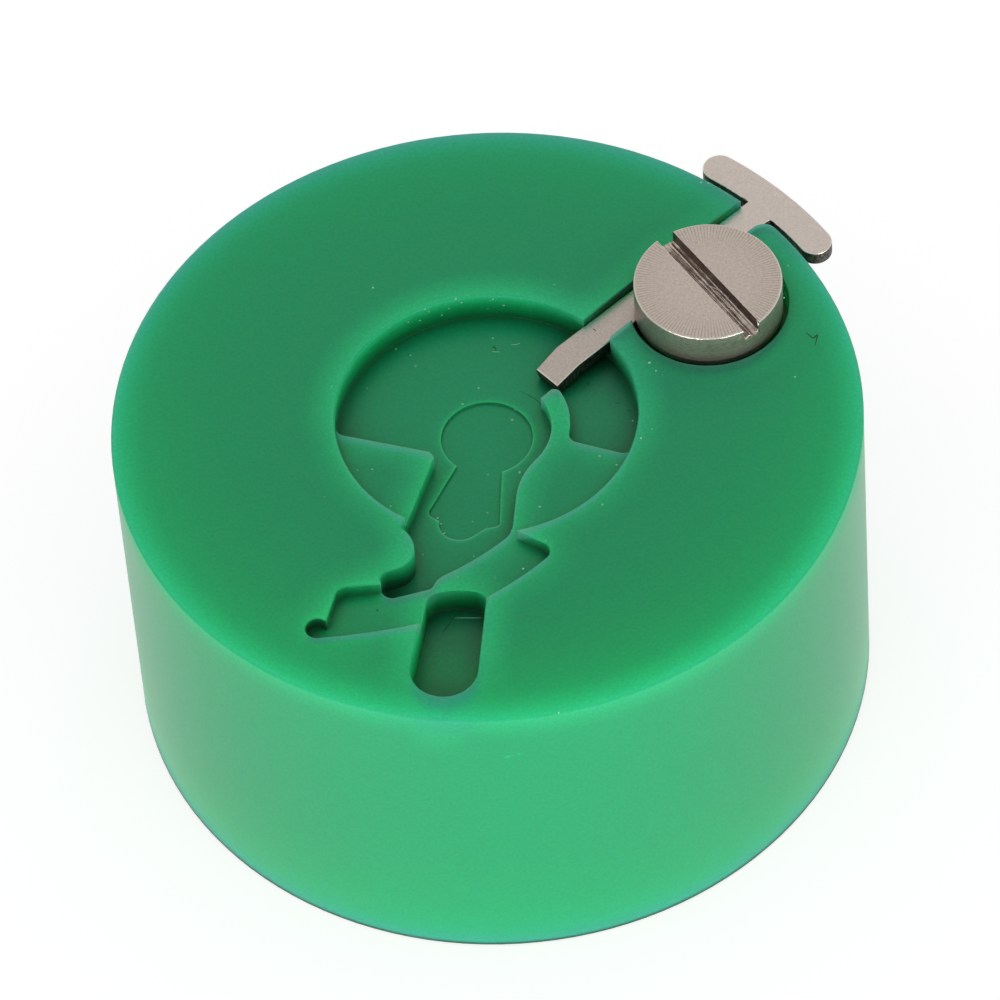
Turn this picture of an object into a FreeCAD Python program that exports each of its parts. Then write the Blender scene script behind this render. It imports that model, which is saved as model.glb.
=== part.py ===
import FreeCAD, Part
import math
import os
import Sketcher
from FreeCAD import Placement, Rotation, Vector

# A watchmaker's holding block: a turned plastic cylinder whose top face has a milled nest for
# one bridge of a movement, a steel T-slide that is pushed in from the rim to hold the bridge,
# and a slotted screw whose head keeps the slide down in its groove.
#
# Frame: millimetres, +Z up, origin in the middle of the block's underside. The outlines of the
# nest are plan coordinates (x, y) about that axis, seen from above. Depths count down from the
# block's top face.

doc = FreeCAD.newDocument("holding_block")

SIZES = [
    # the turned block
    ("block_radius", 16.0, "outside radius of the turned block"),
    ("block_height", 16.15, "underside to top face"),
    ("rim_chamfer", 0.08, "edge break of the top and bottom rims"),
    ("edge_chamfer", 0.05, "edge break of the pockets in the top face"),
    # the nest
    ("cutter_radius", 0.5, "radius of the end mill that finishes the nest"),
    ("recess_radius", 6.47, "round recess in the top face"),
    ("recess_shift", 0.29, "centre of the recess north of the block's axis"),
    ("shelf_depth", 0.66, "shelves and foot pocket"),
    ("floor_depth", 1.42, "floor of the recess and of its channel"),
    ("centre_radius", 2.73, "round clearance inside the finger and the shelf corner"),
    ("finger_radius", 3.53, "outside radius of the curved finger"),
    ("finger_shift", 0.2, "centre of the finger's outside north of the block's axis"),
    ("keyhole_radius", 1.96, "round part of the keyhole in the floor"),
    ("keyhole_drop", 0.14, "keyhole below the recess floor"),
    ("oblong_radius", 1.42, "rounded outer end of the oblong pocket"),
    ("oblong_inset", 2.645, "centre of that rounded end to the block's rim"),
    ("oblong_depth", 1.92, "oblong pocket"),
    ("lobe_radius", 0.51, "small round relief at the end of the foot pocket"),
    # the T-slide
    ("slide_angle", 39.4, "direction of the slide about the block's axis, degrees"),
    ("slide_offset", 0.27, "slide's centre line beside the block's axis"),
    ("stem_width", 1.4, "width of the stem"),
    ("plate_thickness", 0.7, "thickness of the slide's sheet steel"),
    ("slide_sink", 0.385, "slide's top below the block's top face"),
    ("bend_inset", 1.52, "bend of the slide, in from the recess's edge"),
    ("bend_angle", 14.0, "tip bent down, degrees"),
    ("tip_length", 1.34, "bent tip along its top"),
    ("handle_gap", 0.36, "handle off the rim"),
    ("handle_width", 1.48, "radial width of the curved handle"),
    ("handle_half_angle", 9.95, "middle of the slide to each handle end centre, degrees"),
    ("corner_fillet", 0.15, "inside fillet between stem and handle"),
    ("groove_side_gap", 0.03, "stem to each groove wall"),
    ("groove_floor_gap", 0.02, "stem to the groove floor"),
    ("mouth_round", 0.65, "rounded corner of the groove at the rim"),
    ("inner_round", 0.35, "rounded corner of the groove at the recess"),
    # the screw
    ("screw_aside", 1.738, "screw axis to the stem's edge"),
    ("screw_inwards", 0.23, "screw axis nearer the recess than midway from there to the rim"),
    ("head_radius", 3.19, "screw head"),
    ("head_rise", 1.49, "head's face above the block's top face"),
    ("head_chamfer", 0.12, "edge of the head's face"),
    ("head_gap", 0.05, "head over the slide's top"),
    ("well_gap", 0.22, "head to the wall of its well"),
    ("slot_width", 0.83, "screwdriver slot"),
    ("slot_depth", 0.64, "screwdriver slot"),
    ("slot_angle", -58.75, "direction of the slot at rest, degrees"),
    ("shoulder_radius", 1.65, "shoulder that stands on the well's floor"),
    ("thread_radius", 1.5, "outside of the thread"),
    ("thread_pitch", 0.5, "pitch of the thread"),
    ("thread_depth", 0.27, "depth of the thread"),
    ("thread_turns", 12, "turns of the thread"),
    ("shank_length", 7.0, "screw below its shoulder"),
    ("bore_gap", 0.05, "thread to its bore"),
    ("bore_spare", 1.0, "bore deeper than the screw"),
]

sheet = doc.addObject("Spreadsheet::Sheet", "Sizes")
for row, (alias, value, note) in enumerate(SIZES, start=1):
    sheet.set(f"A{row}", note)
    sheet.set(f"B{row}", str(value))
    sheet.setAlias(f"B{row}", alias)
doc.recompute()


def size(alias):
    """The number that the sheet holds under this alias."""
    return float(sheet.get(alias))


# The screw's axis stands beside the stem, about midway between the recess and the rim.
along_slide = "((Sizes.recess_radius + Sizes.block_radius) / 2 - Sizes.screw_inwards)"
beside_slide = "(Sizes.slide_offset - Sizes.stem_width / 2 - Sizes.screw_aside)"
screw_x = f"{along_slide} * cos(Sizes.slide_angle) - {beside_slide} * sin(Sizes.slide_angle)"
screw_y = f"{along_slide} * sin(Sizes.slide_angle) + {beside_slide} * cos(Sizes.slide_angle)"


# ---------------------------------------------------------------------------------------------
# Plan geometry
# ---------------------------------------------------------------------------------------------

def polar(radius, degrees):
    """The plan point at this radius and direction from the block's axis."""
    turn = math.radians(degrees)
    return Vector(radius * math.cos(turn), radius * math.sin(turn), 0)


def at(x, y):
    """A point of a plan or of a sketch."""
    return Vector(x, y, 0)


def nest(x, y):
    """A plan point of the nest. The nest is drawn for a recess of 6.47 mm and grows with it."""
    return at(x, y) * (size("recess_radius") / 6.47)


def on_circle(point, degrees, radius, centre=Vector()):
    """Where the ray from a point inside a circle, in this direction, leaves the circle."""
    ray = polar(1, degrees)
    from_centre = point - centre
    along = from_centre.dot(ray)
    return point + ray * (math.sqrt(along ** 2 + radius ** 2 - from_centre.Length ** 2) - along)


def nook(point, degrees, side, cutter, radius, centre):
    """How a cutter rounds the corner between a wall and the circle that the wall runs into.

    The wall starts at the point, in the given direction. The cutter runs on its left where the
    side is 1 and on its right where it is -1. The three points are the end of the round on the
    wall, its middle and its end on the circle.
    """
    aside = polar(cutter, degrees + 90 * side)
    cutter_centre = on_circle(point + aside, degrees, radius - cutter, centre)
    outwards = (cutter_centre - centre).normalize()
    corner = (outwards - aside / cutter).normalize()
    return cutter_centre - aside, cutter_centre + corner * cutter, cutter_centre + outwards * cutter


class Outline:
    """A closed plan outline: its edges, each with whether it runs the way of the outline."""

    def __init__(self, start):
        self.start = self.last = start
        self.heading = Vector(1, 0, 0)
        self.steps = []

    def line(self, end):
        """A straight line to a point."""
        self.steps.append((Part.LineSegment(self.last, end), True))
        self.heading = (end - self.last).normalize()
        self.last = end
        return self

    def arc(self, via, end):
        """An arc through one point to another, stored counter-clockwise as sketches keep arcs."""
        start = self.last
        forwards = (via - start).cross(end - via).z > 0
        edge = Part.Arc(start, via, end) if forwards else Part.Arc(end, via, start)
        self.steps.append((edge, forwards))
        radius_line = end - edge.toShape().Curve.Center
        turned = Vector(-radius_line.y, radius_line.x, 0).normalize()
        self.heading = turned if forwards else turned * -1
        self.last = end
        return self

    def bend(self, end):
        """An arc to a point that leaves smoothly from the edge before it."""
        chord = end - self.last
        sideways = Vector(-chord.y, chord.x, 0)
        lean = math.atan2(sideways.dot(self.heading), chord.dot(self.heading))
        return self.arc(self.last + chord * 0.5 + sideways * (0.5 * math.tan(lean / 2)), end)

    def forward(self, length):
        """A straight line on in the direction of the edge before it."""
        return self.line(self.last + self.heading * length)

    def curve(self, radius, degrees):
        """An arc that leaves smoothly and turns left, or right where the angle is negative."""
        half = Rotation(Vector(0, 0, 1), degrees / 2)
        chord = half.multVec(self.heading) * (2 * radius * math.sin(math.radians(abs(degrees) / 2)))
        return self.bend(self.last + chord)

    def close(self):
        """The steps, closed by a straight line where the last one doesn't end at the start."""
        if (self.last - self.start).Length > 1e-6:
            self.line(self.start)
        return self.steps


# ---------------------------------------------------------------------------------------------
# PartDesign helpers
# ---------------------------------------------------------------------------------------------

def new_body(label):
    body = doc.addObject("PartDesign::Body", label)
    body.Label = label
    return body


def new_sketch(body, name, role="XY_Plane", lift=None, turn=None):
    """A sketch on one of the body's own planes, lifted along and turned about its normal."""
    sketch = body.newObject("Sketcher::SketchObject", name)
    plane = next(item for item in body.Origin.OriginFeatures if item.Role == role)
    sketch.AttachmentSupport = (plane, [""])
    sketch.MapMode = "FlatFace"
    if lift:
        sketch.setExpression("AttachmentOffset.Base.z", lift)
    if turn:
        sketch.AttachmentOffset = Placement(Vector(), Rotation(Vector(0, 0, 1), 1))
        sketch.setExpression("AttachmentOffset.Rotation.Angle", turn)
    return sketch


def draw(sketch, steps):
    """Adds the steps of an outline to the sketch, joins their ends and fixes them in place."""
    ids = [sketch.addGeometry(edge, False) for edge, forwards in steps]
    ends = [(1, 2) if forwards else (2, 1) for edge, forwards in steps]
    for place, index in enumerate(ids):
        after = (place + 1) % len(ids)
        sketch.addConstraint(
            Sketcher.Constraint("Coincident", index, ends[place][1], ids[after], ends[after][0]))
    for index in ids:
        sketch.addConstraint(Sketcher.Constraint("Block", index))


def draw_circle(sketch, x, y, radius):
    """A circle whose centre and radius are bound to expressions of the sheet."""
    circle = sketch.addGeometry(Part.Circle(Vector(0.1, 0.1, 0), Vector(0, 0, 1), 1.0), False)
    dimensions = (("Radius", radius), ("DistanceX", x), ("DistanceY", y))
    for kind, expression in dimensions:
        if kind == "Radius":
            rule = sketch.addConstraint(Sketcher.Constraint("Radius", circle, 1.0))
        elif expression == "0":
            axis = -2 if kind == "DistanceX" else -1
            sketch.addConstraint(Sketcher.Constraint("PointOnObject", circle, 3, axis))
            continue
        else:
            rule = sketch.addConstraint(Sketcher.Constraint(kind, -1, 1, circle, 3, 0.1))
        sketch.setExpression(f"Constraints[{rule}]", expression)


def pocket(body, sketch, depth):
    """Mills the sketch downwards and makes sure that it took material away."""
    before = body.Shape.Volume
    cut = body.newObject("PartDesign::Pocket", sketch.Name + "_cut")
    cut.Profile = sketch
    cut.setExpression("Length", depth)
    sketch.Visibility = False
    doc.recompute()
    if not body.Shape.Volume < before - 1e-6:
        raise RuntimeError(f"{cut.Name} cuts nothing")
    return cut


def edges_where(shape, test):
    """The names of the shape's edges that pass a test."""
    return [f"Edge{number}" for number, edge in enumerate(shape.Edges, start=1) if test(edge)]


def is_upright_at(edge, corner):
    """Whether a straight upright edge of the block stands at this plan point."""
    points = [vertex.Point for vertex in edge.Vertexes]
    upright = len(points) == 2 and abs(points[0].z - points[1].z) > 0.3
    return upright and all(math.hypot(p.x - corner.x, p.y - corner.y) < 0.02 for p in points)


def dress(body, kind, name, base, edges, value, prop):
    """A fillet or chamfer on some edges of a feature, of a size from the sheet."""
    feature = body.newObject("PartDesign::" + kind, name)
    feature.Base = (base, edges)
    feature.setExpression(prop, value)
    doc.recompute()
    return feature


# ---------------------------------------------------------------------------------------------
# The block
# ---------------------------------------------------------------------------------------------

def deep_outline():
    """The recess floor between shelf and finger, with the channel that leaves it."""
    recess = size("recess_radius")
    recess_centre = at(0, size("recess_shift"))
    recess_top = recess_centre + polar(recess, 90)
    centre = size("centre_radius")
    cutter = size("cutter_radius")

    # the left-hand shelf: its far edge, its corner on the round clearance and its near edge
    shelf_corner = polar(centre, -157.2)
    shelf_round = nook(shelf_corner, 160.8, -1, cutter, recess, recess_centre)
    corner_middle = polar(centre, -153.6)
    shelf_near_corner = polar(centre, -150.0)
    shelf_near_end = on_circle(shelf_near_corner, -111.5, recess + 0.35, recess_centre)
    # the far edge of the right-hand shelf, rounded by the cutter at both ends
    finger = size("finger_radius")
    finger_centre = at(0, size("finger_shift"))
    ledge = finger_centre + polar(finger, -20.1)
    ledge_heading = -22.6
    ledge_round = nook(ledge, ledge_heading, 1, cutter, recess, recess_centre)
    aside = polar(cutter, ledge_heading + 90)
    root_centre = on_circle(ledge + aside, ledge_heading, finger + cutter, finger_centre)
    inwards = (finger_centre - root_centre).normalize()
    root_low = root_centre - aside
    root_middle = root_centre + (inwards - aside / cutter).normalize() * cutter
    root_high = root_centre + inwards * cutter
    # the finger that curves up from it
    finger_back = finger_centre + polar(finger, 3)
    finger_top = finger_centre + polar(finger, 23.5)
    finger_corner = polar(finger - 0.15, 32.2)
    finger_inside = polar(centre, 30.2)
    finger_middle = polar(centre, -7)
    finger_root = polar(centre, -44.6)
    # round end of the channel
    channel_end = nest(-4.50, -8.21)
    end_low = channel_end + polar(cutter, -74.6)
    end_left = channel_end + polar(cutter, 180)
    end_high = channel_end + polar(cutter, 107)

    outline = Outline(shelf_round[2])
    outline.arc(recess_top, ledge_round[2])
    outline.arc(ledge_round[1], ledge_round[0])
    outline.line(root_low)
    outline.arc(root_middle, root_high)
    outline.arc(finger_back, finger_top)
    outline.bend(finger_corner)
    outline.line(finger_inside)
    outline.arc(finger_middle, finger_root)
    # the channel's side under the right-hand shelf, then its near side
    outline.bend(nest(1.14, -3.18))
    outline.bend(nest(0.96, -3.95))
    outline.line(nest(0.74, -5.35))
    outline.bend(nest(0.40, -6.02))
    outline.arc(nest(-0.90, -6.96), nest(-2.31, -7.72))
    outline.bend(nest(-2.76, -8.18))
    outline.bend(nest(-3.05, -8.42))
    outline.line(end_low)
    outline.arc(end_left, end_high)
    # the lobe of the top face that bulges into the channel
    outline.line(nest(-4.16, -7.58))
    outline.bend(nest(-3.47, -6.70))
    outline.bend(nest(-3.85, -5.62))
    outline.bend(shelf_near_end)
    outline.line(shelf_near_corner)
    outline.arc(corner_middle, shelf_corner)
    outline.line(shelf_round[0])
    outline.arc(shelf_round[1], shelf_round[2])
    return outline.close()


def foot_outline():
    """The foot pocket, from inside the recess and the channel out to its rounded lower side."""
    cutter = size("cutter_radius")
    radius = size("lobe_radius")
    lobe = nest(-7.745, -10.442)
    lobe_neck = lobe + polar(radius, 41.6)
    lobe_side = lobe + polar(radius, 180.0)
    lobe_low = lobe + polar(radius, -92.0)

    outline = Outline(nest(-3.20, -7.90))
    outline.line(nest(-4.50, -8.39))
    outline.line(nest(-6.43, -8.39))
    outline.curve(cutter, 71.5)
    outline.line(lobe_neck)
    outline.arc(lobe_side, lobe_low)
    outline.arc(nest(-5.60, -10.86), nest(-2.90, -10.52))
    outline.arc(nest(-0.51, -9.47), nest(2.02, -7.71))
    outline.curve(cutter, 144.0 - math.degrees(math.atan2(outline.heading.y, outline.heading.x)))
    outline.forward(1.80)
    return outline.close()


def oblong_outline():
    """The oblong pocket: round at its outer end, squarish towards the middle of the block."""
    radius = size("oblong_radius")
    end = polar(size("block_radius") - size("oblong_inset"), -101.22)
    right_side = end + polar(radius, -10)
    left_side = end + polar(radius, 170)
    bottom = end + polar(radius, -101)

    outline = Outline(right_side)
    outline.line(nest(-0.58, -9.30))
    outline.arc(nest(-0.74, -8.94), nest(-1.10, -8.72))
    outline.arc(nest(-1.92, -8.57), nest(-2.70, -8.64))
    outline.arc(nest(-2.99, -8.82), nest(-3.15, -9.10))
    outline.line(left_side)
    outline.arc(bottom, right_side)
    return outline.close()


def keyhole_outline():
    """The shallow keyhole in the recess floor: a round eye and a bent tail."""
    radius = size("keyhole_radius")
    eye = nest(-0.06, 0.05)
    right_neck = eye + polar(radius, -74.6)
    left_neck = eye + polar(radius, -134.5)
    top = eye + polar(radius, 75.0)

    outline = Outline(right_neck)
    outline.line(nest(0.19, -4.52))
    outline.arc(nest(0.14, -4.70), nest(0.0, -4.76))
    outline.line(nest(-0.42, -4.81))
    outline.line(nest(-0.95, -5.15))
    outline.arc(nest(-1.60, -5.31), nest(-2.22, -4.92))
    outline.arc(nest(-2.36, -4.60), nest(-2.35, -4.23))
    outline.line(nest(-2.56, -4.04))
    outline.arc(nest(-2.75, -3.82), nest(-2.70, -3.56))
    outline.line(left_neck)
    outline.arc(top, right_neck)
    return outline.close()


def make_block():
    body = new_body("holding_block")

    plan = new_sketch(body, "block_plan")
    draw_circle(plan, "0", "0", "Sizes.block_radius")
    stock = body.newObject("PartDesign::Pad", "block_stock")
    stock.Profile = plan
    stock.setExpression("Length", "Sizes.block_height")
    plan.Visibility = False
    doc.recompute()
    rims = edges_where(stock.Shape, lambda edge: isinstance(edge.Curve, Part.Circle))
    dress(body, "Chamfer", "rim_break", stock, rims, "Sizes.rim_chamfer", "Size")

    top = "Sizes.block_height"
    recess = new_sketch(body, "recess", lift=top)
    draw_circle(recess, "0", "Sizes.recess_shift", "Sizes.recess_radius")
    pocket(body, recess, "Sizes.shelf_depth")

    milled = (("foot", foot_outline, "Sizes.shelf_depth"),
              ("floor", deep_outline, "Sizes.floor_depth"),
              ("keyhole", keyhole_outline, "Sizes.floor_depth + Sizes.keyhole_drop"),
              ("oblong", oblong_outline, "Sizes.oblong_depth"))
    for name, outline, depth in milled:
        sketch = new_sketch(body, name, lift=top)
        draw(sketch, outline())
        pocket(body, sketch, depth)

    # the slide's groove, drawn in the slide's own direction: from the recess out past the rim
    groove_depth = "Sizes.slide_sink + Sizes.plate_thickness + Sizes.groove_floor_gap"
    half = size("stem_width") / 2 + size("groove_side_gap")
    low = size("slide_offset") - half
    high = size("slide_offset") + half
    inside = size("recess_radius") - 0.5
    outside = size("block_radius") + 1.0
    groove = new_sketch(body, "groove", lift=top, turn="Sizes.slide_angle")
    walls = Outline(at(inside, low)).line(at(outside, low))
    walls.line(at(outside, high)).line(at(inside, high))
    draw(groove, walls.close())
    milled = pocket(body, groove, groove_depth)

    # the low side of the groove is rounded off where it meets the rim and the recess
    low_wall = polar(low, size("slide_angle") + 90)
    recess_centre = at(0, size("recess_shift"))
    mouth = on_circle(low_wall, size("slide_angle"), size("block_radius"))
    inner_end = on_circle(low_wall, size("slide_angle"), size("recess_radius"), recess_centre)
    for name, corner, radius in (("mouth_corner", mouth, "Sizes.mouth_round"),
                                 ("inner_corner", inner_end, "Sizes.inner_round")):
        edges = edges_where(milled.Shape, lambda edge: is_upright_at(edge, corner))
        milled = dress(body, "Fillet", name, milled, edges, radius, "Radius")

    # the screw's well and its bore
    well = new_sketch(body, "well", lift=top)
    draw_circle(well, screw_x, screw_y, "Sizes.head_radius + Sizes.well_gap")
    pocket(body, well, groove_depth)
    bore = new_sketch(body, "bore", lift=top)
    draw_circle(bore, screw_x, screw_y, "Sizes.thread_radius + Sizes.bore_gap")
    bore_cut = pocket(body, bore, groove_depth + " + Sizes.shank_length + Sizes.bore_spare")

    # sharp edges of the pockets are broken all round the top face, but not the turned rim's
    rim = size("block_radius") - size("rim_chamfer")
    top_z = size("block_height")

    def in_top_face(edge):
        middle = edge.valueAt((edge.FirstParameter + edge.LastParameter) / 2)
        points = [middle] + [vertex.Point for vertex in edge.Vertexes]
        flat = all(abs(point.z - top_z) < 1e-6 for point in points)
        return flat and math.hypot(middle.x, middle.y) < rim - 0.01

    broken = edges_where(bore_cut.Shape, in_top_face)
    dress(body, "Chamfer", "edge_break", bore_cut, broken, "Sizes.edge_chamfer", "Size")
    return body


# ---------------------------------------------------------------------------------------------
# The T-slide
# ---------------------------------------------------------------------------------------------

def slide_outline():
    """Stem and curved handle about the slide's centre line, with +X out along the slide."""
    half = size("stem_width") / 2
    bend = size("recess_radius") - size("bend_inset")
    inner = size("block_radius") + size("handle_gap")
    outer = inner + size("handle_width")
    middle = (inner + outer) / 2
    cap = size("handle_width") / 2
    spread = size("handle_half_angle")
    past_end = spread + math.degrees(cap / middle)

    # the fillet touches the stem's low side and the handle's inner side
    fillet = size("corner_fillet")
    fillet_y = -half - fillet
    fillet_x = math.sqrt((inner - fillet) ** 2 - fillet_y ** 2)
    fillet_angle = math.degrees(math.atan2(fillet_y, fillet_x))
    fillet_end = polar(inner, fillet_angle)
    fillet_middle = Vector(fillet_x, fillet_y, 0) + polar(fillet, 45 + fillet_angle / 2)

    low_start = polar(inner, -spread)
    low_cap = polar(middle, -past_end)
    low_end = polar(outer, -spread)
    outside = polar(outer, 0)
    high_end = polar(outer, spread)
    high_cap = polar(middle, past_end)
    high_start = polar(inner, spread)
    low_inner = polar(inner, (fillet_angle - spread) / 2)
    corner_x = math.sqrt(inner ** 2 - half ** 2)
    high_inner = polar(inner, spread / 2)

    outline = Outline(at(bend, -half))
    outline.line(at(fillet_x, -half))
    outline.arc(fillet_middle, fillet_end)
    outline.arc(low_inner, low_start)
    outline.arc(low_cap, low_end)
    outline.arc(outside, high_end)
    outline.arc(high_cap, high_start)
    outline.arc(high_inner, at(corner_x, half))
    outline.line(at(bend, half))
    return outline.close()


def tip_outline():
    """The bent tip from the side, with X outwards and Y up from the plate's underside."""
    thick = size("plate_thickness")
    bend = size("recess_radius") - size("bend_inset")
    turn = math.radians(size("bend_angle"))
    length = size("tip_length")
    end_x = bend - length * math.cos(turn)
    end_y = thick - length * math.sin(turn)

    outline = Outline(at(bend, thick))
    outline.line(at(end_x, end_y))
    outline.line(at(end_x + thick * math.sin(turn), end_y - thick * math.cos(turn)))
    outline.line(at(bend + thick * math.tan(turn / 2), 0))
    return outline.close()


def make_slide():
    body = new_body("t_slide")

    plan = new_sketch(body, "slide_plan")
    draw(plan, slide_outline())
    plate = body.newObject("PartDesign::Pad", "slide_plate")
    plate.Profile = plan
    plate.setExpression("Length", "Sizes.plate_thickness")
    plan.Visibility = False
    doc.recompute()

    side = new_sketch(body, "tip_side", role="XZ_Plane")
    draw(side, tip_outline())
    tip = body.newObject("PartDesign::Pad", "slide_tip")
    tip.Profile = side
    tip.SideType = "Symmetric"
    tip.setExpression("Length", "Sizes.stem_width")
    side.Visibility = False

    body.Placement = Placement(Vector(), Rotation(Vector(0, 0, 1), 1))
    body.setExpression("Placement.Rotation.Angle", "Sizes.slide_angle")
    body.setExpression("Placement.Base.x", "-Sizes.slide_offset * sin(Sizes.slide_angle)")
    body.setExpression("Placement.Base.y", "Sizes.slide_offset * cos(Sizes.slide_angle)")
    underside = "Sizes.block_height - Sizes.slide_sink - Sizes.plate_thickness"
    body.setExpression("Placement.Base.z", underside)
    doc.recompute()
    return body


# ---------------------------------------------------------------------------------------------
# The screw
# ---------------------------------------------------------------------------------------------

def screw_profile():
    """Half section of the screw, with Y up from the face of its shoulder."""
    head = size("head_radius")
    shoulder = size("shoulder_radius")
    thread = size("thread_radius")
    lead_in = size("thread_depth")
    length = size("shank_length")
    well = size("slide_sink") + size("plate_thickness") + size("groove_floor_gap")
    seat = well - size("slide_sink") + size("head_gap")
    face = well + size("head_rise")
    bevel = size("head_chamfer")

    outline = Outline(at(0, -length))
    outline.line(at(thread - lead_in, -length))
    outline.line(at(thread, lead_in - length))
    outline.line(at(thread, 0))
    outline.line(at(shoulder, 0))
    outline.line(at(shoulder, seat))
    outline.line(at(head, seat))
    outline.line(at(head, face - bevel))
    outline.line(at(head - bevel, face))
    outline.line(at(0, face))
    return outline.close()


def make_screw():
    body = new_body("slotted_screw")
    well = "Sizes.slide_sink + Sizes.plate_thickness + Sizes.groove_floor_gap"

    section = new_sketch(body, "screw_section", role="XZ_Plane")
    draw(section, screw_profile())
    turned = body.newObject("PartDesign::Revolution", "turned_screw")
    turned.Profile = section
    turned.ReferenceAxis = (section, ["V_Axis"])
    turned.Angle = 360
    section.Visibility = False
    doc.recompute()

    slot = new_sketch(body, "slot", lift=well + " + Sizes.head_rise")
    reach = size("head_radius") + 1.0
    half = size("slot_width") / 2
    sides = Outline(at(-reach, -half)).line(at(reach, -half)).line(at(reach, half)).line(at(-reach, half))
    draw(slot, sides.close())
    pocket(body, slot, "Sizes.slot_depth")

    # one valley of the thread, repeated at each pitch down the shank
    valley = new_sketch(body, "thread_valley", role="XZ_Plane")
    pitch = size("thread_pitch")
    outside = size("thread_radius") + 0.1
    root = size("thread_radius") - size("thread_depth")
    wide = pitch * 0.48
    high = -pitch
    vee = Outline(at(outside, high + wide)).line(at(root, high)).line(at(outside, high - wide))
    draw(valley, vee.close())
    before = body.Shape.Volume
    groove = body.newObject("PartDesign::Groove", "thread_groove")
    groove.Profile = valley
    groove.ReferenceAxis = (valley, ["V_Axis"])
    groove.Angle = 360
    valley.Visibility = False
    doc.recompute()
    if not body.Shape.Volume < before - 1e-6:
        raise RuntimeError("the thread groove cuts nothing")
    turns = body.newObject("PartDesign::LinearPattern", "thread_turns")
    turns.Originals = [groove]
    turns.Direction = (valley, ["V_Axis"])
    turns.Reversed = True
    turns.setExpression("Length", "Sizes.thread_pitch * (Sizes.thread_turns - 1)")
    turns.setExpression("Occurrences", "Sizes.thread_turns")
    body.Tip = turns
    doc.recompute()

    body.Placement = Placement(Vector(), Rotation(Vector(0, 0, 1), 1))
    body.setExpression("Placement.Rotation.Angle", "Sizes.slot_angle")
    body.setExpression("Placement.Base.x", screw_x)
    body.setExpression("Placement.Base.y", screw_y)
    body.setExpression("Placement.Base.z", f"Sizes.block_height - ({well})")
    doc.recompute()
    return body


# ---------------------------------------------------------------------------------------------
# Build, check and write
# ---------------------------------------------------------------------------------------------

pieces = [make_block(), make_slide(), make_screw()]
doc.recompute()

for item in doc.Objects:
    if "Invalid" in item.State or "Error" in item.State:
        raise RuntimeError(f"{item.Name} failed: {item.State}")

os.makedirs("parts", exist_ok=True)
for piece in pieces:
    shape = piece.Shape
    if shape.isNull() or not shape.isValid() or len(shape.Solids) != 1:
        raise RuntimeError(f"{piece.Label} is not one valid solid")
    shape.exportStep(os.path.join("parts", piece.Label + ".step"))
    box = shape.BoundBox
    print(f"{piece.Label}: volume {shape.Volume:.2f} mm3, x {box.XMin:.2f}..{box.XMax:.2f}, "
          f"y {box.YMin:.2f}..{box.YMax:.2f}, z {box.ZMin:.2f}..{box.ZMax:.2f}")
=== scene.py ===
# %% [markdown]
# # A watchmaker's holding block
#
# A green plastic cylinder as wide as a large coin has a nest milled into its top face, and one
# bridge of a watch movement lies in that nest while it is worked on. A thin steel T-slide reaches
# over the nest and a slotted screw clamps it. This file dresses the three CAD solids: it gives
# them their light, their finishes and the small marks of the cutters that made them.
#
# Lengths are in metres in Blender. Small sizes are written in millimetres and turned with MM.

import math

import bpy
import numpy as np
from mathutils import Matrix, Vector


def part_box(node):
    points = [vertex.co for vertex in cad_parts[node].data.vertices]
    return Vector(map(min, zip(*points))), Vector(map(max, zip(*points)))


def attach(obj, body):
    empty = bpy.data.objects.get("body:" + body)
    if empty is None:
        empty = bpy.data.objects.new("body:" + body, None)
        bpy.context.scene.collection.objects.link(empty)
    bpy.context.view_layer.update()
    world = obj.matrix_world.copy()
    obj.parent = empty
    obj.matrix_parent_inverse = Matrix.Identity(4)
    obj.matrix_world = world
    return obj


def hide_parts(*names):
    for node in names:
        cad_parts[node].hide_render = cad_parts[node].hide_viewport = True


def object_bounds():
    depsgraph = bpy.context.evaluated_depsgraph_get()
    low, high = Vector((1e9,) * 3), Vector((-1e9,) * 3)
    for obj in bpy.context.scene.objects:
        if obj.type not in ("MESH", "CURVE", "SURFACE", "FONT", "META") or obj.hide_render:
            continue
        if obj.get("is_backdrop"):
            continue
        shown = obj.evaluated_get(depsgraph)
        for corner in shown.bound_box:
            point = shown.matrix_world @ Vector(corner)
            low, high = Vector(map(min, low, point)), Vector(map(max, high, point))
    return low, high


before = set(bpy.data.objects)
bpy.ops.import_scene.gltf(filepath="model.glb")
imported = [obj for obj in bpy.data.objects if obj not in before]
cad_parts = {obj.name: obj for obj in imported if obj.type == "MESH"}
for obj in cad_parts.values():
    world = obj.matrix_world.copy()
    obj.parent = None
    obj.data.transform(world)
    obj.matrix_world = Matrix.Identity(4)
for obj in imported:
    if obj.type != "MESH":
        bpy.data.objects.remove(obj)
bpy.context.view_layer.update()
MM = 0.001
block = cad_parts["holding_block"]
top_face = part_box("holding_block")[1].z
print("nodes:", sorted(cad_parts), "top face at", round(top_face / MM, 3), "mm")

# %% [markdown]
# ## Camera
#
# A long lens from a third of a metre away looks down on the block at 51 degrees, so the round top
# reads as an ellipse and nearly all of the nest's floor can be seen. The camera leans a little to
# one side, and the block sits a little left of and above the middle of the picture. The camera is
# first aimed straight at the middle of the top face and then turned until that point falls on its
# place in the picture. That place, and the lens's focal length, are written in pixels of a picture
# that is PICTURE pixels wide.

# %% Camera
ELEVATION, LEAN = math.radians(51.265), math.radians(-4.619)
DISTANCE = 355.36 * MM
FOCAL_PIXELS, PICTURE = 8370.0, 1000.0
AIM_X, AIM_Y = 486.7, 418.0
SENSOR = 36.0
NEAR, FAR = 0.01, 10.0

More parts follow.
